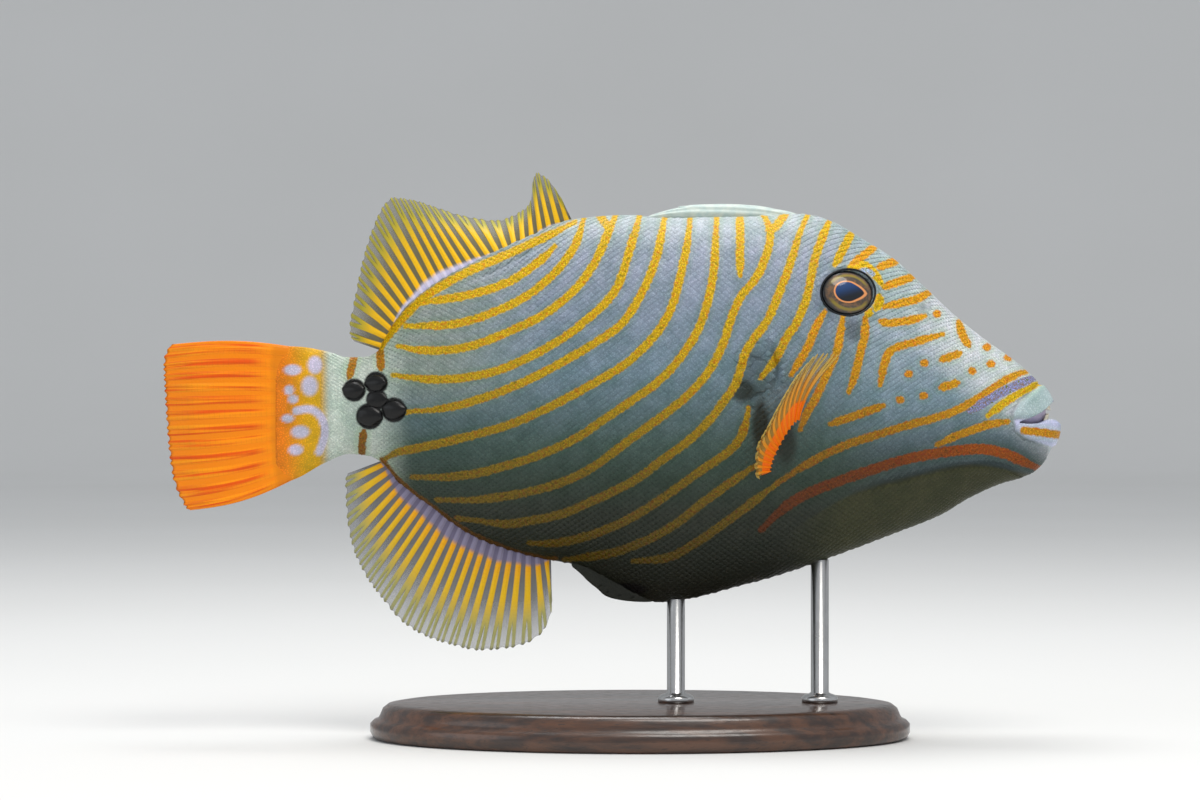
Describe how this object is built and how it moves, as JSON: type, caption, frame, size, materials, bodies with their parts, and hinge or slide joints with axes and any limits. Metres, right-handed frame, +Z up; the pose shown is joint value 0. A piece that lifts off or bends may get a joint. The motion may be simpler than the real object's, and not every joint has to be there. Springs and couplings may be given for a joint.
{
  "type": "orange-lined triggerfish display model",
  "caption": "Still, life-size model of an orange-lined triggerfish in a swimming pose, held by slim rods on a flat oval base.",
  "frame": {"origin": "centre of the underside of the stand's base", "axes": "+X the way the fish swims, -Y its right side, +Z up"},
  "size_m": [0.1999, 0.07, 0.1261],
  "materials": {
    "skin": "fine leathery skin, satin, blue-grey with gold stripes",
    "orange_fin": "rayed fin, satin orange",
    "clear_fin": "thin translucent membrane with golden rays",
    "eye": "clear gloss over a brown iris and dark pupil",
    "dark_spine": "black, glossy",
    "tooth": "smooth ivory gloss",
    "stand_wood": "dark stained, satin varnish",
    "stand_metal": "brushed"
  },
  "bodies": {
    "root": {"head": "skin", "torso": "skin", "tail_peduncle": "skin", "caudal_fin": "orange_fin", "first_dorsal_fin": "skin", "second_dorsal_fin": "clear_fin", "anal_fin": "clear_fin", "pelvic_flap": "dark_spine", "pectoral_fin_right": "orange_fin", "pectoral_fin_left": "orange_fin", "eye_right": "eye", "eye_left": "eye", "stand_base": "stand_wood", "stand_rod_front": "stand_metal", "stand_rod_rear": "stand_metal"}
  },
  "joints": []
}
